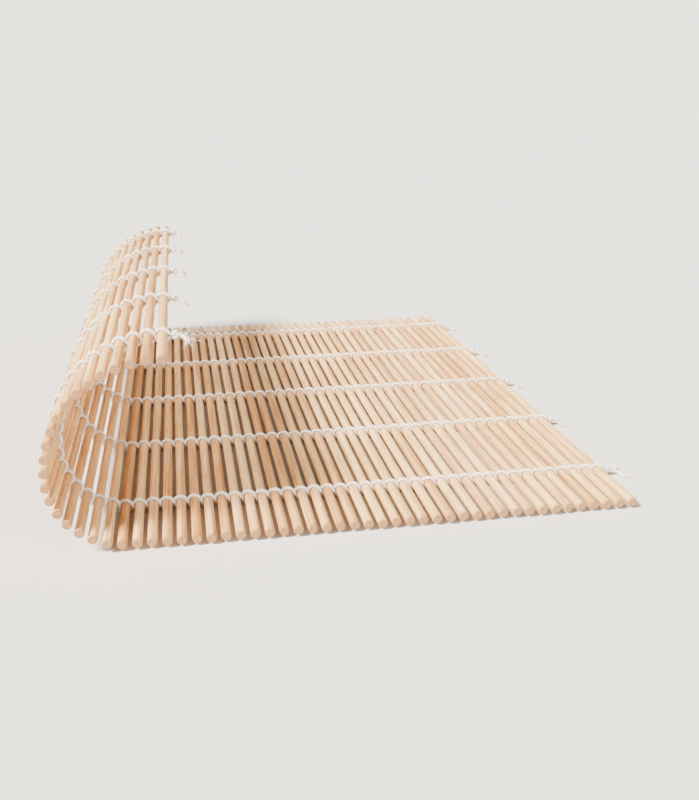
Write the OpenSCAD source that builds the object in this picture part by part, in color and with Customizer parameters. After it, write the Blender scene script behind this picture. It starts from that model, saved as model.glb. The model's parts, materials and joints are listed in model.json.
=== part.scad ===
// Bamboo rolling mat: round slats woven side by side with rows of cotton string.
// X runs across the slats, Y along them and Z up. The mat lies on its flat far half,
// and its near edge on the left curls up and over, as round a roll of rice.
// Two slats and their stitches move as one pair, and each pair turns on the next
// about the line where the strings cross between them.

/* [Slats] */
// Length of each slat
slat_len = 240; // [180:1:300]
// Thickness of each round slat
slat_d = 2.9; // [2.6:0.05:3.2]
// Space between one slat and the next
slat_gap = 1.26; // [1.15:0.01:1.6]
// Bevel round the cut ends of a slat
end_bevel = 0.25; // [0.1:0.05:0.6]

/* [Strings] */
// Rows of string along the slats
string_rows = 5; // [3:1:5]
// Distance from one row of string to the next
row_pitch = 49; // [20:0.5:50]
// Length of slat in front of the first row
front_overhang = 26; // [10:0.5:40]
// Thickness of a strand
string_d = 0.9; // [0.6:0.05:1]
// Play between a strand and the slats it passes
string_play = 0.05; // [0.03:0.01:0.07]
// Play between the two strands of a row
strand_gap = 0.1; // [0.05:0.01:0.3]
// How much thinner a strand is pulled where it runs straight from slat to slat
string_neck = 0.04; // [0.02:0.01:0.1]
// Depth to which the mat's weight flattens the strings it lies on
flat_cut = 0.15; // [0.05:0.05:0.3]

/* [Knots at the two edges] */
// Distance from a knot's middle to the middle of the string looped round it
knot_loop_r = 0.75; // [0.6:0.05:1]
// Length of each loose end past its knot
tail_len = 7; // [4:0.5:12]
// Radius in which a loose end bends away
tail_r = 8; // [6:0.5:14]
// Angle at which the two loose ends leave a knot
tail_spread = 14; // [8:1:25]

/* [Curl] */
// Radius of the lip, measured to the middle of its slats
lip_r = 32.5; // [28:0.5:45]
// Joints that bend to the radius of the lip
lip_joints = 6; // [3:1:8]
// Radius of the bend that rises from the table
bend_r = 21; // [18:0.5:30]
// Joints that bend to the radius of the rise
bend_joints = 4; // [2:1:6]
// Largest turn of one pair on the next
turn_max = 40; // [30:1:44]

/* [Hidden] */
// Slats go in pairs, numbered from the curled edge.
pairs = 29;
$fn = 48;
tag = function (k) str(k < 10 ? "0" : "", k);
slat_names = [for (k = [1:pairs]) str("slat_pair_", tag(k))];
tie_names = [for (k = [1:pairs]) str("string_ties_", tag(k))];

// The path of a strand: it wraps each slat at wrap_r, down to wrap_a above or below
// the slat's middle, and runs straight from there through the middle of the gap.
pitch = slat_d + slat_gap;
wrap_r = slat_d / 2 + string_play + string_d / 2;
wrap_a = acos(2 * wrap_r / pitch);
straight_len = pitch / 2 * sin(wrap_a);
// The straight stretch starts this deep inside the end of the wrap.
tuck = 0.1;
neck_d = string_d - string_neck;
reach = wrap_r + string_d / 2;
// A strand ends this far from the line on which two pairs turn.
end_gap = string_d / 2 * tan(turn_max / 2) + string_play / 2;
strand_y = (string_d + strand_gap) / 2;
row_half = strand_y + string_d / 2;
// Short slats carry fewer rows: each row lies whole on them.
row_ys = [for (k = [0:string_rows - 1])
  let (from_front = front_overhang + k * row_pitch)
  if (from_front + row_half <= slat_len - end_bevel) from_front - slat_len / 2];

// Joint k lies between pairs k and k + 1. The pairs past the curl lie flat.
turn_on = function (r) 2 * atan(pitch / sqrt(r * r - pitch * pitch / 4));
turns = [for (k = [1:pairs - 1])
  k <= lip_joints ? turn_on(lip_r) : k <= lip_joints + bend_joints ? turn_on(bend_r) : 0];
sum_from = function (list, k) k >= len(list) ? 0 : list[k] + sum_from(list, k + 1);
leans = [for (k = [1:pairs]) sum_from(turns, k - 1)];
// Middles of the pairs, counted back from the last one
steps = [for (k = [1:pairs]) pitch * [-cos(leans[k - 1]), sin(leans[k - 1])]];
middle_from = function (k) k >= pairs ? [0, 0] : middle_from(k + 1) + steps[k] + steps[k - 1];
middles = [for (k = [1:pairs]) middle_from(k)];

// Where a strand's end comes nearest to the knot beside it
end_edge = pitch - end_gap * sin(wrap_a) + string_d / 2 * cos(wrap_a);
knot_r = knot_loop_r + string_d / 2;
knot_x = end_edge + string_play + knot_r;
tail_turn = tail_len / tail_r * 180 / PI;
tail_reach = knot_x + tail_r * (sin(tail_spread + tail_turn) - sin(tail_spread))
  + string_d / 2 * sin(tail_spread + tail_turn);

// The origin is on the table, under the middle of the mat's outline.
slat_xs = [for (k = [0:pairs - 1], side = [-1, 1]) middles[k][0] + side * pitch / 2 * cos(leans[k])];
left_x = min(slat_xs) - reach;
origin_x = (left_x + tail_reach) / 2;
slat_z = reach - flat_cut;

module slat() {
  half = slat_len / 2;
  flat_r = slat_d / 2 - end_bevel;
  side_len = half - end_bevel;
  rotate([90, 0, 0])
    rotate_extrude()
      polygon([[0, -half], [flat_r, -half], [slat_d / 2, -side_len],
        [slat_d / 2, side_len], [flat_r, half], [0, half]]);
}

module slat_pair() {
  color("burlywood")
    for (side = [-1, 1])
      translate([side * pitch / 2, 0, 0])
        slat();
}

// Part of a strand round one slat: over the left one for side 1, under the right one for -1
module wrap(side) {
  translate([-side * pitch / 2, 0, 0])
    rotate([0, 0, side * wrap_a])
      mirror([0, side < 0 ? 1 : 0, 0])
        rotate_extrude(angle = 180 - 2 * wrap_a)
          translate([wrap_r, 0])
            circle(d = string_d);
}

// Straight stretch of strand through the crossing at x, from one distance along it to another
module straight(x, lean, from, to) {
  translate([x, 0, 0])
    rotate([0, 0, lean])
      translate([from, 0, 0])
        rotate([0, 90, 0])
          cylinder(h = to - from, d = neck_d);
}

// One strand, drawn in the plane of its path: over the left slat and under the right one
module strand() {
  deep = straight_len + tuck;
  wrap(1);
  wrap(-1);
  straight(0, wrap_a - 90, -deep, deep);
  straight(pitch, 90 - wrap_a, -deep, -end_gap);
  straight(-pitch, 90 - wrap_a, end_gap, deep);
}

// The two strands of each row pass a pair of slats on opposite sides.
module stitches() {
  for (y = row_ys, side = [-1, 1])
    translate([0, y + side * strand_y, 0])
      rotate([90, 0, 0])
        mirror([0, side > 0 ? 1 : 0, 0])
          strand();
}

module string_ties(lies_flat) {
  color("ivory")
    if (lies_flat)
      intersection() {
        stitches();
        translate([-2 * pitch, -slat_len / 2, -slat_z])
          cube([4 * pitch, slat_len, slat_z + 2 * reach]);
      }
    else
      stitches();
}

module tail(side) {
  mirror([0, side < 0 ? 1 : 0, 0])
    rotate([0, 0, tail_spread])
      translate([0, tail_r, 0])
        rotate([0, 0, -90])
          rotate_extrude(angle = tail_turn)
            translate([tail_r, 0])
              circle(d = string_d);
}

// Both strands are knotted together past the edge slat, with two loose ends.
module knots() {
  color("ivory")
    for (y = row_ys)
      translate([knot_x, y, 0]) {
        sphere(r = knot_loop_r);
        rotate([0, 90, 0])
          rotate_extrude()
            translate([knot_loop_r, 0])
              circle(d = string_d);
        tail(1);
        tail(-1);
      }
}

// Moves a piece drawn round a pair's middle to where pair k lies.
module at_pair(k) {
  translate([middles[k - 1][0] - origin_x, 0, middles[k - 1][1] + slat_z])
    rotate([0, leans[k - 1], 0])
      children();
}

for (k = [1:pairs]) {
  at_pair(k) slat_pair();
  at_pair(k) string_ties(leans[k - 1] == 0);
}
at_pair(1) mirror([1, 0, 0]) knots();  // knots_curled_edge
at_pair(pairs) knots();  // knots_flat_edge
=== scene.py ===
import json
import math
import random

import bpy
import numpy as np
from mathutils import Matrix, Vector


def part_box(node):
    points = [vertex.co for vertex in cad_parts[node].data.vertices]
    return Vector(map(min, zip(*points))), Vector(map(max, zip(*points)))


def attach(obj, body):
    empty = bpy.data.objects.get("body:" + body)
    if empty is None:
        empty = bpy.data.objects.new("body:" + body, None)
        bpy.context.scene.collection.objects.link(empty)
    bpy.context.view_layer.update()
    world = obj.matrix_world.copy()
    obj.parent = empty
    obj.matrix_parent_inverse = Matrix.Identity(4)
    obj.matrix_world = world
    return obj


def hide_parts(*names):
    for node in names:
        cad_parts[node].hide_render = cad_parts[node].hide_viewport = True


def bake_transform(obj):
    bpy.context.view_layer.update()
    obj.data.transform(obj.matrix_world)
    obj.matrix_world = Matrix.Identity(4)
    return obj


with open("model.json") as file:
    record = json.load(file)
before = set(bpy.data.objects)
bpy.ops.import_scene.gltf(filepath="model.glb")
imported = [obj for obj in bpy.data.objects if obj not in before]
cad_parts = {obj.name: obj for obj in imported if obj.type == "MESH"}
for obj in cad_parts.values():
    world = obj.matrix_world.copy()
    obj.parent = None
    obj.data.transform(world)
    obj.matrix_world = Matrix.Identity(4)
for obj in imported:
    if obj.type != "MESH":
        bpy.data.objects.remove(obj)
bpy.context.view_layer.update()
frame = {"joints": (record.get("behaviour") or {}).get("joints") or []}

MM = 0.001

# Room: a wide pale table top under soft studio light. Its far end fades into a backdrop of the
# same shade. The camera stands low before the cut ends of the slats and looks along the curl.
CAMERA_AT = Vector((-50, -356, 124)) * MM
LOOK_AT = Vector((13, -16, 5)) * MM
CAMERA_LENS = 47.0
CAMERA_NEAR = 0.01
camera = bpy.data.objects.new("camera", bpy.data.cameras.new("camera"))
bpy.context.scene.collection.objects.link(camera)
camera.location = CAMERA_AT
camera.rotation_euler = (LOOK_AT - CAMERA_AT).to_track_quat("-Z", "Y").to_euler()
camera.data.sensor_fit = "HORIZONTAL"
camera.data.lens = CAMERA_LENS
camera.data.clip_start = CAMERA_NEAR
bpy.context.scene.camera = camera

TABLE_HALF = 30.0
TABLE_COLOUR = Vector((0.6, 0.575, 0.54))
TABLE_ROUGHNESS = 0.9
top = bpy.data.meshes.new("table_top")
corners = [(-1, -1), (1, -1), (1, 1), (-1, 1)]
top.from_pydata([(x * TABLE_HALF, y * TABLE_HALF, 0) for x, y in corners], [], [(0, 1, 2, 3)])
table_top = bpy.data.objects.new("table_top", top)
bpy.context.scene.collection.objects.link(table_top)
table_paint = bpy.data.materials.new("table_paint")
table_paint.use_nodes = True
table_shader = table_paint.node_tree.nodes["Principled BSDF"]
table_shader.inputs["Base Color"].default_value = (*TABLE_COLOUR, 1)
table_shader.inputs["Roughness"].default_value = TABLE_ROUGHNESS
table_shader.inputs["Specular IOR Level"].default_value = 0.0
top.materials.append(table_paint)

# Name, where the light comes from, its strength, how wide it looks in degrees, and its colour
LIGHTS = [
    ("key_light", Vector((-0.62, -0.28, 0.64)), 20.0, 16, Vector((1, 0.95, 0.88))),
    ("fill_light", Vector((0.7, -0.6, 0.45)), 3.4, 50, Vector((1, 0.97, 0.94))),
]
SKY_COLOUR = Vector((0.92, 0.94, 0.97))
SKY_STRENGTH = 0.5
# The light that reaches the table adds up here, so that the backdrop gets the table's shade.
table_light = SKY_COLOUR * SKY_STRENGTH
for name, source, strength, width, colour in LIGHTS:
    lamp = bpy.data.lights.new(name, "SUN")
    lamp.energy = strength
    lamp.angle = math.radians(width)
    lamp.color = colour
    light = bpy.data.objects.new(name, lamp)
    light.rotation_euler = (-source).to_track_quat("-Z", "Y").to_euler()
    bpy.context.scene.collection.objects.link(light)
    table_light += colour * strength * source.normalized().z / math.pi
world = bpy.data.worlds.new("room")
bpy.context.scene.world = world
world.use_nodes = True
sky = world.node_tree
glow = sky.nodes["Background"]
glow.inputs["Color"].default_value = (*SKY_COLOUR, 1)
glow.inputs["Strength"].default_value = SKY_STRENGTH
backdrop = sky.nodes.new("ShaderNodeBackground")
backdrop.inputs["Color"].default_value = (*(table_light * TABLE_COLOUR), 1)
chosen = sky.nodes.new("ShaderNodeMixShader")
ray = sky.nodes.new("ShaderNodeLightPath")
sky.links.new(ray.outputs["Is Camera Ray"], chosen.inputs["Fac"])
sky.links.new(glow.outputs["Background"], chosen.inputs[1])
sky.links.new(backdrop.outputs["Background"], chosen.inputs[2])
sky.links.new(chosen.outputs["Shader"], sky.nodes["World Output"].inputs["Surface"])

# Slats: round bamboo sticks split from the culm's wall and drawn through a die. Each is a little
# bowed and off round, and its cut ends show the fibres and have darkened with use. Two slats lie
# side by side in each pair, which moves as one.
SLAT_SIDES = 24
# Even rings lie between these shares of a slat's length.
SLAT_RINGS = 21
SLAT_BODY = (0.03, 0.97)
SLAT_BOW = 0.12 * MM
# A slat on a table bows less upwards than sideways, and its bow has a few waves.
BOW_UPWARDS = 0.4
BOW_WAVES = 5
WAVE_SHARE = 0.3
OFF_ROUND = 0.012
# Swellings along a slat: their share of its radius, and how often they come
SWELLINGS = [(0.006, 7), (0.004, 23)]
END_JITTER = 0.5 * MM
END_RAGGED = 0.05 * MM
# From a cut end inwards: the distance in mm, the share of the full radius there, and how much
# the edge has darkened
SLAT_EDGE = [(0, 0.84, 0.5), (0.08, 0.93, 0.42), (0.22, 0.985, 0.32), (0.45, 1, 0.24), (1.8, 1, 0)]
BAMBOO_SHADES = [
    (0.3, (0.6, 0.315, 0.105)), (0.47, (0.84, 0.54, 0.215)), (0.7, (0.93, 0.69, 0.345))]
PORE_SHADES = [
    (0.12, (0.06, 0.022, 0.01)), (0.3, (0.26, 0.125, 0.045)), (0.6, (0.4, 0.215, 0.085))]
BAMBOO_ROUGHNESS = [(0.3, (0.72, 0.72, 0.72)), (0.6, (0.5, 0.5, 0.5))]
FIBRE_STAIN = (0.4, 0.23, 0.1)
VEIN_STAIN = (0.36, 0.19, 0.08)
DARK_SLAT_STAIN = (0.7, 0.52, 0.34)
PATCH_STAIN = (0.88, 0.79, 0.68)
END_STAIN = (0.55, 0.34, 0.17)
PORES_PER_METRE = 3300.0
ALONG = Vector((0, 1, 0))
rng = random.Random(58)

hinges = {joint["name"]: Vector(joint["pos_m"]) for joint in frame["joints"]}
PAIRS = len(hinges) + 1


def pair_place(k):
    """A pair's middle, the step from there to its edge on the flat part's side, and its up."""
    low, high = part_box(f"slat_pair_{k:02d}")
    middle = (low + high) / 2
    middle.y = 0
    if k < PAIRS:
        across = hinges[f"gap_{k:02d}"] - middle
    else:
        across = middle - hinges[f"gap_{k - 1:02d}"]
    return middle, across, across.normalized().cross(ALONG)


places = {k: pair_place(k) for k in range(1, PAIRS + 1)}
PITCH = places[1][1].length
last_low, last_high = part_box(f"slat_pair_{PAIRS:02d}")
SLAT_R = (last_high.z - last_low.z) / 2
SLAT_HALF = last_high.y


class Shape:
    """Gathers tubes into one mesh. Each point has a tone and a darkness beside a cut end.
    A strand's tone is how far its ply swells, which sets the painted shade in its grooves.
    """

    def __init__(self):
        self.points, self.normals, self.faces, self.uvs = [], [], [], []
        self.tones, self.ends = [], []

    def tube(self, rings, tones, lengths, normals=None, capped=(True, True), darkened=0.0):
        """rings is an array of closed rings of points, and lengths says how far along the piece
        each ring lies. A cap is a fan round the middle of its ring."""
        rings = np.asarray(rings, float)
        count, sides = rings.shape[:2]
        first = len(self.points)
        self.points += rings.reshape(-1, 3).tolist()
        self.normals += (rings * 0 if normals is None else normals).reshape(-1, 3).tolist()
        self.tones += np.broadcast_to(tones, (count, sides)).ravel().tolist()
        self.ends += np.repeat(np.broadcast_to(darkened, count), sides).tolist()
        for i in range(count - 1):
            near, far = lengths[i], lengths[i + 1]
            for s in range(sides):
                a, b = first + i * sides + s, first + i * sides + (s + 1) % sides
                self.faces.append((a, b, b + sides, a + sides))
                low, high = s / sides, (s + 1) / sides
                self.uvs += [(near, low), (near, high), (far, high), (far, low)]
        for ring, wanted in ((0, capped[0]), (count - 1, capped[1])):
            if not wanted:
                continue
            middle = len(self.points)
            self.points += [rings[ring].mean(0).tolist()] + rings[ring].tolist()
            self.normals += [(0.0, 0.0, 0.0)] * (sides + 1)
            self.tones += [float(np.mean(tones))] * (sides + 1)
            self.ends += [1.0] * (sides + 1)
            for s in range(sides):
                face = (middle, middle + 1 + s, middle + 1 + (s + 1) % sides)
                self.faces.append(face if ring else face[::-1])
                self.uvs += [(lengths[ring], 0.5)] * 3

    def made(self, name, material):
        """The piece itself, smooth shaded, with its lengths as a map named lay."""
        mesh = bpy.data.meshes.new(name)
        mesh.from_pydata(self.points, [], self.faces)
        layer = mesh.uv_layers.new(name="lay")
        layer.data.foreach_set("uv", np.array(self.uvs, np.float32).ravel())
        for label, values in (("tone", self.tones), ("cut_end", self.ends)):
            kept = mesh.attributes.new(label, "FLOAT", "POINT")
            kept.data.foreach_set("value", np.array(values, np.float32))
        mesh.materials.append(material)
        mesh.polygons.foreach_set("use_smooth", [True] * len(mesh.polygons))
        mesh.update()
        if np.any(self.normals):
            mesh.normals_split_custom_set_from_vertices(self.normals)
        piece = bpy.data.objects.new(name, mesh)
        bpy.context.scene.collection.objects.link(piece)
        return piece


def new_material(name):
    """A material, its node tree and its shader."""
    made = bpy.data.materials.new(name)
    made.use_nodes = True
    return made, made.node_tree, made.node_tree.nodes["Principled BSDF"]


def node(tree, kind, **settings):
    """A new node. A setting is a property, or names an input with its spaces as underscores and
    gives its value or a socket that feeds it."""
    made = tree.nodes.new(kind)
    for key, value in settings.items():
        label = key.replace("_", " ")
        if label not in made.inputs:
            setattr(made, key, value)
        elif isinstance(value, bpy.types.NodeSocket):
            tree.links.new(value, made.inputs[label])
        else:
            made.inputs[label].default_value = value
    return made


def ramp(tree, by, stops):
    """Colour by the value of a socket."""
    made = node(tree, "ShaderNodeValToRGB", Fac=by)
    while len(made.color_ramp.elements) < len(stops):
        made.color_ramp.elements.new(0.5)
    for element, (at, colour) in zip(made.color_ramp.elements, stops):
        element.position = at
        element.color = (*colour, 1)
    return made.outputs["Color"]


def mixed(tree, kind, share, colour, other):
    """Two colours mixed by a share, each of the three from a socket."""
    made = node(tree, "ShaderNodeMix", data_type="RGBA", blend_type=kind)
    wanted = {"Factor_Float": share, "A_Color": colour, "B_Color": other}
    for socket in made.inputs:
        if socket.identifier in wanted:
            tree.links.new(wanted[socket.identifier], socket)
    return next(socket for socket in made.outputs if socket.identifier == "Result_Color")


def new_group(name, inputs, outputs):
    """An empty node group, what its inputs give inside it, and what its outputs take there."""
    group = bpy.data.node_groups.new(name, "ShaderNodeTree")
    for way, sockets in (("INPUT", inputs), ("OUTPUT", outputs)):
        for label, kind in sockets.items():
            group.interface.new_socket(label, in_out=way, socket_type=f"NodeSocket{kind}")
    given = group.nodes.new("NodeGroupInput").outputs
    return group, given, group.nodes.new("NodeGroupOutput").inputs


# Grain is noise drawn out along the fibres.
grain, given, result = new_group(
    "grain",
    {"Place": "Vector", "Stretch": "Vector", "Fineness": "Float", "Detail": "Float",
     "Wander": "Float"},
    {"Mask": "Float"})
drawn_out = node(grain, "ShaderNodeMapping", Vector=given["Place"], Scale=given["Stretch"])
noise = node(grain, "ShaderNodeTexNoise", Vector=drawn_out.outputs["Vector"],
             Scale=given["Fineness"], Detail=given["Detail"], Distortion=given["Wander"])
grain.links.new(noise.outputs["Fac"], result["Mask"])

# The group darkens a colour for a real stain or for painted shade, from none where its mask is at
# Clean to all where it is at Full.
stain_or_shade, given, result = new_group(
    "stain_or_shade",
    {"Colour": "Color", "Stain_or_shade": "Color", "Mask": "Float", "Clean": "Float", "Full": "Float",
     "Amount": "Float"},
    {"Colour": "Color"})
depth = node(stain_or_shade, "ShaderNodeMapRange", interpolation_type="SMOOTHSTEP", Value=given["Mask"],
             From_Min=given["Clean"], From_Max=given["Full"], To_Max=given["Amount"])
darker = mixed(stain_or_shade, "MULTIPLY", depth.outputs["Result"], given["Colour"], given["Stain_or_shade"])
stain_or_shade.links.new(darker, result["Colour"])


def grained(tree, place, stretch, fineness, detail, wander=0.0):
    """The grain group in a material, with its own values."""
    made = node(tree, "ShaderNodeGroup", node_tree=grain)
    tree.links.new(place, made.inputs["Place"])
    made.inputs["Stretch"].default_value = stretch
    made.inputs["Fineness"].default_value = fineness
    made.inputs["Detail"].default_value = detail
    made.inputs["Wander"].default_value = wander
    return made.outputs["Mask"]


def stained_or_shaded(tree, colour, stain_or_shade_colour, mask, clean, full, amount):
    """The group for a real stain or painted shade in a material, with its own values."""
    made = node(tree, "ShaderNodeGroup", node_tree=stain_or_shade)
    tree.links.new(colour, made.inputs["Colour"])
    made.inputs["Stain_or_shade"].default_value = (*stain_or_shade_colour, 1)
    tree.links.new(mask, made.inputs["Mask"])
    made.inputs["Clean"].default_value = clean
    made.inputs["Full"].default_value = full
    made.inputs["Amount"].default_value = amount
    return made.outputs["Colour"]


bamboo, tree, shader = new_material("bamboo")
coords = node(tree, "ShaderNodeTexCoord").outputs["Object"]
fibres = grained(tree, coords, stretch=(1, 0.012, 1), fineness=3200, detail=4)
streaks = grained(tree, coords, stretch=(1, 0.02, 1), fineness=900, detail=3)
veins = grained(tree, coords, stretch=(1, 0.018, 1), fineness=7500, detail=2)
patches = grained(tree, coords, stretch=(1, 0.25, 1), fineness=60, detail=2)
tone = node(tree, "ShaderNodeAttribute", attribute_name="tone").outputs["Fac"]
cut_end = node(tree, "ShaderNodeAttribute", attribute_name="cut_end").outputs["Fac"]
colour = ramp(tree, streaks, BAMBOO_SHADES)
colour = stained_or_shaded(tree, colour, FIBRE_STAIN, fibres, clean=0.6, full=0.28, amount=0.6)
colour = stained_or_shaded(tree, colour, VEIN_STAIN, veins, clean=0.43, full=0.29, amount=0.75)
colour = stained_or_shaded(tree, colour, DARK_SLAT_STAIN, tone, clean=1.0, full=0.0, amount=1.0)
colour = stained_or_shaded(tree, colour, PATCH_STAIN, patches, clean=0.6, full=0.35, amount=0.7)
colour = stained_or_shaded(tree, colour, END_STAIN, cut_end, clean=0.0, full=0.5, amount=0.8)
pores = node(tree, "ShaderNodeTexVoronoi", Vector=coords, Scale=PORES_PER_METRE)
pore_colour = ramp(tree, pores.outputs["Distance"], PORE_SHADES)
on_end = node(tree, "ShaderNodeMapRange", Value=cut_end, From_Min=0.6, From_Max=0.9)
colour = mixed(tree, "MIX", on_end.outputs["Result"], colour, pore_colour)
tree.links.new(colour, shader.inputs["Base Color"])
tree.links.new(ramp(tree, fibres, BAMBOO_ROUGHNESS), shader.inputs["Roughness"])
bump = node(tree, "ShaderNodeBump", Strength=0.35, Distance=0.12 * MM, Height=fibres)
tree.links.new(bump.outputs["Normal"], shader.inputs["Normal"])
shader.inputs["Subsurface Weight"].default_value = 0.14
shader.inputs["Subsurface Radius"].default_value = (1.0, 0.42, 0.15)
shader.inputs["Subsurface Scale"].default_value = 1.0 * MM


def stick(shape, middle):
    """One slat: rings from end to end, drawn in a little at the cut edges."""
    front = -SLAT_HALF + rng.uniform(0, END_JITTER)
    back = SLAT_HALF - rng.uniform(0, END_JITTER)
    bow_way = rng.uniform(0, 2 * math.pi)
    oval_way = rng.uniform(0, math.pi)
    phases = [rng.uniform(0, 2 * math.pi) for _ in range(4)]
    steps = [(front + d * MM, share, dark) for d, share, dark in SLAT_EDGE]
    body = np.linspace(*SLAT_BODY, SLAT_RINGS)
    steps += [(front + (back - front) * share, 1, 0) for share in body]
    steps += [(back - d * MM, share, dark) for d, share, dark in reversed(SLAT_EDGE)]
    angles = np.linspace(0, 2 * math.pi, SLAT_SIDES, endpoint=False)
    rings = []
    for y, share, _ in steps:
        t = (y / SLAT_HALF + 1) / 2
        waves = WAVE_SHARE * math.sin(BOW_WAVES * math.pi * t + phases[0])
        bow = SLAT_BOW * (math.sin(math.pi * t) + waves)
        thick = 1
        for (swelling, often), phase in zip(SWELLINGS, phases[1:]):
            thick += swelling * math.sin(often * t + phase)
        radii = SLAT_R * share * thick * (1 + OFF_ROUND * np.cos(2 * (angles - oval_way)))
        x = middle.x + bow * math.cos(bow_way) + radii * np.cos(angles)
        z = middle.z + bow * math.sin(bow_way) * BOW_UPWARDS + radii * np.sin(angles)
        ragged = END_RAGGED if share == SLAT_EDGE[0][1] else 0
        rings.append(np.stack([x, y + ragged * np.cos(3 * angles + phases[3]), z], axis=1))
    rings.reverse()
    steps.reverse()
    lengths = [y for y, _, _ in steps]
    shape.tube(rings, rng.betavariate(3, 2), lengths, darkened=[dark for _, _, dark in steps])


for k, (middle, across, up) in places.items():
    shape = Shape()
    stick(shape, middle - across / 2)
    stick(shape, middle + across / 2)
    slats = shape.made(f"slats_{k:02d}", bamboo)
    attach(slats, f"pair_{k:02d}")
    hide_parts(f"slat_pair_{k:02d}")

# Strings: undyed cotton laid up from three plies, two strands to a row. The two change over side
# by side in every gap and hold each slat from both sides. Each is one strand from edge to edge,
# here cut at the slats: stitches ride on a pair, and crossings lie across the gaps between pairs.
STRAND_R = 0.58 * MM
CAD_STRAND_R = 0.45 * MM
PLIES = 3
PLY_SIDES = 4
PLY_DEPTH = 0.24
PLY_ROUNDNESS = 0.8
PLY_LEAD = 1.25 * MM
COTTON_SHADES = [(0.3, (0.62, 0.55, 0.47)), (0.5, (0.84, 0.79, 0.72)), (0.68, (0.93, 0.89, 0.83))]
# Painted shade: the grooves between the plies are darkened to this colour, where shade falls.
PAINTED_GROOVE_SHADE = (0.55, 0.46, 0.38)
HANDLED_STAIN = (0.88, 0.8, 0.7)
# Spacing of the rings along a strand, and the fewest from one slat to the next
STRAND_STEP = 0.28 * MM
LEAST_RINGS = 6
# How far each strand steps aside in a gap, and how far a row wanders from slat to slat
SIDE_STEP = 0.57 * MM
DRIFT = 0.13 * MM
ROWS = 5
CAD_ROW_HALF = 0.95 * MM
FLOOR_SKIN = 0.02 * MM
TABLE_BELOW = places[PAIRS][0].z
tie_low, tie_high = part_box(f"string_ties_{PAIRS:02d}")
WRAP_R = tie_high.z - TABLE_BELOW - CAD_STRAND_R
WRAP_A = math.acos(2 * WRAP_R / PITCH)
first_row = tie_low.y + CAD_ROW_HALF
last_row = tie_high.y - CAD_ROW_HALF
row_ys = [first_row + (last_row - first_row) * i / (ROWS - 1) for i in range(ROWS)]

cotton, tree, shader = new_material("cotton")
lay = node(tree, "ShaderNodeUVMap", uv_map="lay").outputs["UV"]
coords = node(tree, "ShaderNodeTexCoord").outputs["Object"]
yarn = grained(tree, lay, stretch=(1250, 40, 1), fineness=1.6, detail=5, wander=0.8)
fluff = grained(tree, coords, stretch=(1, 1, 1), fineness=9000, detail=3)
handled = grained(tree, coords, stretch=(1, 1, 1), fineness=180, detail=2)
swell = node(tree, "ShaderNodeAttribute", attribute_name="tone").outputs["Fac"]
colour = ramp(tree, yarn, COTTON_SHADES)
# Painted shade in the grooves: the less a ply swells at a point, the darker it is painted.
colour = stained_or_shaded(tree, colour, PAINTED_GROOVE_SHADE, swell, clean=0.6, full=0.0, amount=0.8)
colour = stained_or_shaded(tree, colour, HANDLED_STAIN, handled, clean=0.6, full=0.36, amount=0.7)
tree.links.new(colour, shader.inputs["Base Color"])
shader.inputs["Roughness"].default_value = 0.92
shader.inputs["Sheen Weight"].default_value = 0.25
shader.inputs["Specular IOR Level"].default_value = 0.25
twist = node(tree, "ShaderNodeBump", Strength=0.6, Distance=0.08 * MM, Height=yarn)
fuzz = node(tree, "ShaderNodeBump", Strength=0.35, Distance=0.05 * MM, Height=fluff,
            Normal=twist.outputs["Normal"])
tree.links.new(fuzz.outputs["Normal"], shader.inputs["Normal"])

# The middle line of a strand: arcs round the slats in order, with points at these shares of the
# way from an arc to the middle of the gap, and a knot's core at each end
ARC_POINTS = 12
LEAD_SHARES = (0.4, 0.8)
SOFTENINGS = 3
KNOT_CORE = 0.75 * MM
slats_in_order = []
for k, (middle, across, up) in places.items():
    for way in (-1, 1):
        slats_in_order.append((middle + across * way / 2, across.normalized(), up))
knot_places = []
for edge, k, way in (("curled_edge", 1, -1), ("flat_edge", PAIRS, 1)):
    middle, across, up = places[k]
    out = across.normalized() * way
    low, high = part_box(f"knots_{edge}")
    knot_gap = abs((low.x if out.x > 0 else high.x) - middle.x) + KNOT_CORE
    knot_places.append((edge, k, middle + out * knot_gap, out, up))


def half_arc(slat, unit, up, way, side):
    """A quarter turn of strand from the top (side 1) or underside (-1) of a slat down to the gap
    beside it, and part of the way across the gap. way is 1 for the gap towards the flat edge."""
    angles = np.linspace(math.pi / 2, WRAP_A, ARC_POINTS)
    points = [slat + WRAP_R * (unit * way * math.cos(a) + up * side * math.sin(a)) for a in angles]
    gap = slat + unit * way * PITCH / 2
    return points + [points[-1].lerp(gap, t) for t in LEAD_SHARES]


def whole_strand(first_side):
    """Middle line of a strand from knot to knot in the plane of its path, and the points on it
    where it passes the top or underside of each slat."""
    points = [knot_places[0][2]]
    tops = []
    side = first_side
    for slat, unit, up in slats_in_order:
        before = half_arc(slat, unit, up, -1, side)[::-1]
        after = half_arc(slat, unit, up, 1, side)
        points += before[:-1]
        tops.append(len(points))
        points += after
        side = -side
    points.append(knot_places[1][2])
    marks = [0] + tops + [len(points) - 1]
    points = np.array(points, float)
    for _ in range(SOFTENINGS):
        points[1:-1] = 0.25 * points[:-2] + 0.5 * points[1:-1] + 0.25 * points[2:]
    return points, marks


def ring_normals(rings):
    """Outward normals of a tube's points."""
    ahead = np.gradient(rings, axis=0)
    round_it = np.roll(rings, -1, axis=1) - np.roll(rings, 1, axis=1)
    out = np.cross(round_it, ahead)
    return out / np.linalg.norm(out, axis=2, keepdims=True)


ply_angles = math.pi / PLIES + np.linspace(0, 2 * math.pi, PLIES * PLY_SIDES, endpoint=False)
ply_swell = np.abs(np.cos(PLIES / 2 * ply_angles)) ** PLY_ROUNDNESS
ply_radii = 1 - PLY_DEPTH + PLY_DEPTH * ply_swell


def unit_rows(ways):
    """The same directions, each of length one."""
    return ways / np.linalg.norm(ways, axis=1)[:, None]


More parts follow.
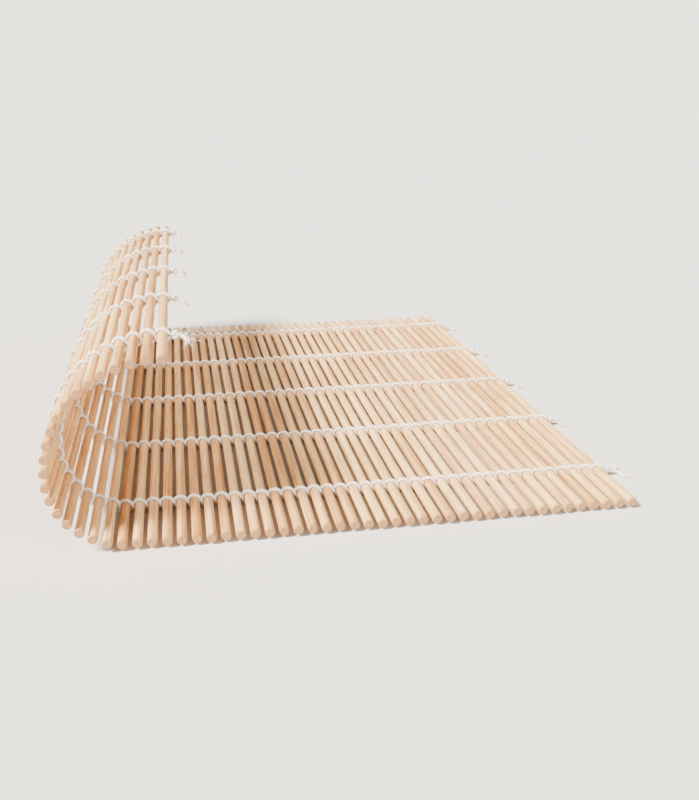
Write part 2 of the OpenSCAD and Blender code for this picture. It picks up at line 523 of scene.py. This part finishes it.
def laid_up(path, lengths, radius):
    """Rings of a strand laid up from plies, which wind about its path."""
    ways = unit_rows(np.gradient(path, axis=0))
    side = unit_rows(np.array(ALONG) - ways * ways[:, 1:2])
    other = np.cross(ways, side)
    turns = ply_angles + 2 * math.pi / PLIES * np.asarray(lengths)[:, None] / PLY_LEAD
    radii = np.broadcast_to(radius, len(path))[:, None] * ply_radii
    around = np.cos(turns)[..., None] * side[:, None] + np.sin(turns)[..., None] * other[:, None]
    return path[:, None] + radii[..., None] * around


def strand_spans(row_y, drift, first_side):
    """The strand cut at each slat: (rings, normals, lengths) from one slat, or knot, to the next.
    drift is how far the weaver's hand has moved the row aside at each slat."""
    points, marks = whole_strand(first_side)
    at = np.r_[0, np.cumsum(np.linalg.norm(np.diff(points, axis=0), axis=1))]
    wanted, cuts, sway = [np.zeros(1)], [0], [np.zeros(1)]
    side = first_side
    for i, (near, far) in enumerate(zip(marks[:-1], marks[1:])):
        count = max(LEAST_RINGS, round((at[far] - at[near]) / STRAND_STEP))
        share = np.arange(1, count + 1) / count
        wanted.append(at[near] + share * (at[far] - at[near]))
        eased = (1 - np.cos(math.pi * share)) / 2
        drifted = drift[i] + (drift[i + 1] - drift[i]) * eased
        sway.append(drifted + side * SIDE_STEP * np.sin(math.pi * share))
        cuts.append(cuts[-1] + count)
        side = -side
    wanted = np.concatenate(wanted)
    path = np.stack([np.interp(wanted, at, points[:, i]) for i in range(3)], axis=1)
    path[:, 1] = row_y + np.concatenate(sway)
    rings = laid_up(path, wanted, STRAND_R)
    rings[:, :, 2] = np.maximum(rings[:, :, 2], FLOOR_SKIN)
    normals = ring_normals(rings)
    ends = zip(cuts[:-1], cuts[1:])
    return [(rings[a:b + 1], normals[a:b + 1], wanted[a:b + 1]) for a, b in ends]


spans = []
for row_y in row_ys:
    drift = [0] + [rng.gauss(0, DRIFT) for _ in slats_in_order] + [0]
    spans += [strand_spans(row_y, drift, side) for side in (1, -1)]

# A few hairs stand off each span: how many, their lengths and radii, how far they lean off the
# strand and to all sides, how thin their tips are, and the length of yarn that colours them
HAIRS = 2
HAIR_LENGTHS = (0.4 * MM, 1.1 * MM)
HAIR_RADII = (0.012 * MM, 0.022 * MM)
HAIR_LEAN = 0.6
HAIR_SPREAD = 0.5
HAIR_TIP = 0.25
HAIR_YARN = 2 * MM
# The rings of a hair are set square by this direction, along which no hair lies.
OFF_HAIR = [0.2, 0.3, 0.93]


def fibre(shape, points, radius):
    """A thin tuft of cotton that tapers to its tip."""
    path = np.array(points, float)
    ways = unit_rows(np.gradient(path, axis=0))
    side = unit_rows(np.cross(ways, OFF_HAIR))
    other = np.cross(ways, side)
    angles = np.linspace(0, 2 * math.pi, 4, endpoint=False)
    radii = radius * np.linspace(1, HAIR_TIP, len(path))
    around = np.cos(angles)[:, None] * side[:, None] + np.sin(angles)[:, None] * other[:, None]
    rings = path[:, None] + radii[:, None, None] * around
    shape.tube(rings, 1.0, np.linspace(0, HAIR_YARN, len(path)), capped=(False, True))


def bent_hair(root, heading, curl, length, count):
    """Points of a hair that leaves its root on a heading and curls away from it."""
    shares = np.linspace(0, 1, count)
    return [root + heading * length * t + curl * length * t * t for t in shares]


def any_way(spread):
    """A random step, as likely to one side as to another."""
    return Vector([rng.gauss(0, spread) for _ in range(3)])


def all_strands(shape, number):
    """Adds the same span of every strand, with its hairs. Span 0 lies before the first slat. No
    hair reaches lower than the table would be if the mat lay flat."""
    middle, _, up = places[min(max((number + 1) // 2, 1), PAIRS)]
    for strand in spans:
        rings, normals, lengths = strand[number]
        shape.tube(rings, ply_swell, lengths, normals, (False, False))
        for _ in range(HAIRS):
            i, s = rng.randrange(len(rings)), rng.randrange(PLIES * PLY_SIDES)
            root, out = Vector(rings[i][s]), Vector(normals[i][s])
            length = rng.uniform(*HAIR_LENGTHS)
            heading = out * HAIR_LEAN + any_way(HAIR_SPREAD)
            hair = bent_hair(root, heading, any_way(HAIR_SPREAD), length, 5)
            if min((point - middle).dot(up) for point in hair) > FLOOR_SKIN - TABLE_BELOW:
                fibre(shape, hair, rng.uniform(*HAIR_RADII))


for k in range(1, PAIRS + 1):
    shape = Shape()
    all_strands(shape, 2 * k - 1)
    stitches = shape.made(f"stitches_{k:02d}", cotton)
    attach(stitches, f"pair_{k:02d}")
    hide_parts(f"string_ties_{k:02d}")

# Crossings: the strings' spans across each gap, from one pair to the next.
for k in range(1, PAIRS):
    shape = Shape()
    all_strands(shape, 2 * k)
    crossings = shape.made(f"crossings_{k:02d}", cotton)
    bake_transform(crossings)

# Knots: past each edge slat both strands of a row are tied together in one overhand knot, drawn
# tight, and cut off by hand. That leaves two short ends, which fray.
KNOT_R = 0.62 * MM
KNOT_POINTS = 61
# How far the knot's loops open and how deep they lie, as shares of its radius
KNOT_OPEN = 0.5
KNOT_DEEP = 0.75
# How thin the strand is pulled in a knot, the length of yarn that colours it, the turns of each
# ply, and the most that a knot is twisted either way
KNOT_PINCH = 0.97
KNOT_YARN = 12 * MM
KNOT_PLY_TURNS = 8
KNOT_SPIN = 0.5
# The first ring of a knot is set square by this direction.
OFF_KNOT = [0.3, 0.5, 0.8]
# The loose ends, or tails: their lengths, and how far they turn aside and slow down on the way
TAIL_POINTS = 26
TAIL_LENGTHS = (4.5 * MM, 6.5 * MM)
TAIL_ASIDE = (0.45, 0.8)
TAIL_SLOWING = 0.28
# The curled edge was cut closer to its knots.
CURLED_TAIL_SHARE = 0.7
# Where a tail leaves its knot, how high it comes to rest on the table, and how far one droops
# that hangs free
TAIL_ROOT = 0.6 * MM
TAIL_REST = 0.75 * MM
TAIL_DROOP = 1.6 * MM
# A tail is thinner than a strand, until its plies loosen and swell over the last part of it.
TAIL_THIN = 0.94
TAIL_SWELL = 0.12
LOOSE_FROM = 0.7
# The frayed tip: how many fibres, how far back and how far out they root, their lengths and
# radii, how far they open and curl, and the height above the table that they keep
TIP_FIBRES = 30
TIP_ROOT = 0.4 * MM
TIP_FULLNESS = 0.85
TIP_LENGTHS = (0.9 * MM, 2.4 * MM)
TIP_RADII = (0.05 * MM, 0.11 * MM)
TIP_OPENING = (0.3, 1.1)
TIP_CURL = 0.3
TIP_FLOOR = 0.12 * MM


def knot_path(centre, out, up):
    """A small overhand knot, as a trefoil drawn tight."""
    points = []
    for t in np.linspace(0, 2 * math.pi, KNOT_POINTS):
        far = 1 + KNOT_OPEN * math.cos(3 * t)
        a, b, c = far * math.cos(2 * t), far * math.sin(2 * t), KNOT_DEEP * math.sin(3 * t)
        points.append(centre + KNOT_R * (ALONG * a + up * b + out * c))
    return np.array(points, float)


def knot_rings(path):
    """Rings of plied string about a path that may turn any way."""
    ways = unit_rows(np.gradient(path, axis=0))
    side = np.cross(ways[0], OFF_KNOT)
    radii = STRAND_R * KNOT_PINCH * ply_radii
    rings = []
    for i, (point, way) in enumerate(zip(path, ways)):
        side = side - way * side.dot(way)
        side /= np.linalg.norm(side)
        turns = ply_angles + 2 * math.pi * KNOT_PLY_TURNS * i / len(path)
        around = np.cos(turns)[:, None] * side + np.sin(turns)[:, None] * np.cross(way, side)
        rings.append(point + radii[:, None] * around)
    return np.array(rings)


def loose_end(shape, start, out, sideways, droop_to, length):
    """A short end that bends aside and sinks, with its plies coming apart at the tip."""
    points = []
    for t in np.linspace(0, 1, TAIL_POINTS):
        ahead = out * length * (t - TAIL_SLOWING * t * t)
        aside = ALONG * sideways * length * t * t
        fall = (droop_to - start.z) * (3 * t * t - 2 * t ** 3)
        points.append(start + ahead + aside + Vector((0, 0, fall)))
    path = np.array(points, float)
    shares = np.linspace(0, 1, len(path))
    loosened = np.clip((shares - LOOSE_FROM) / (1 - LOOSE_FROM), 0, 1) ** 2
    radii = STRAND_R * (TAIL_THIN + TAIL_SWELL * loosened)
    rings = laid_up(path, shares * length + rng.random() * PLY_LEAD, radii)
    shape.tube(rings, ply_swell, shares * length, ring_normals(rings))
    tip = Vector(path[-1])
    way = Vector(path[-1] - path[-3]).normalized()
    for _ in range(TIP_FIBRES):
        off = any_way(1)
        off = (off - way * off.dot(way)).normalized() * math.sqrt(rng.random())
        root = tip - way * TIP_ROOT + off * STRAND_R * TIP_FULLNESS
        heading = way + off * rng.uniform(*TIP_OPENING)
        curl = any_way(TIP_CURL)
        hair = bent_hair(root, heading, curl, rng.uniform(*TIP_LENGTHS), 7)
        hair = [Vector((p.x, p.y, max(p.z, TIP_FLOOR))) for p in hair]
        fibre(shape, hair, rng.uniform(*TIP_RADII))


for edge, k, knot_at, out, up in knot_places:
    lies_flat = k == PAIRS
    shape = Shape()
    all_strands(shape, 2 * PAIRS if lies_flat else 0)
    for row_y in row_ys:
        centre = knot_at + ALONG * row_y
        spin = rng.uniform(-KNOT_SPIN, KNOT_SPIN)
        rings = knot_rings(knot_path(centre, out, up * math.cos(spin) + ALONG * math.sin(spin)))
        lengths = np.linspace(0, KNOT_YARN, len(rings))
        shape.tube(rings, ply_swell, lengths, ring_normals(rings), (False, False))
        rest_at = TAIL_REST if lies_flat else centre.z - TAIL_DROOP
        for side in (1, -1):
            length = rng.uniform(*TAIL_LENGTHS) * (1 if lies_flat else CURLED_TAIL_SHARE)
            aside = side * rng.uniform(*TAIL_ASIDE)
            loose_end(shape, centre + out * TAIL_ROOT, out, aside, rest_at, length)
    knots = shape.made(f"knots_{edge}_tied", cotton)
    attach(knots, f"pair_{k:02d}")
    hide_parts(f"knots_{edge}")
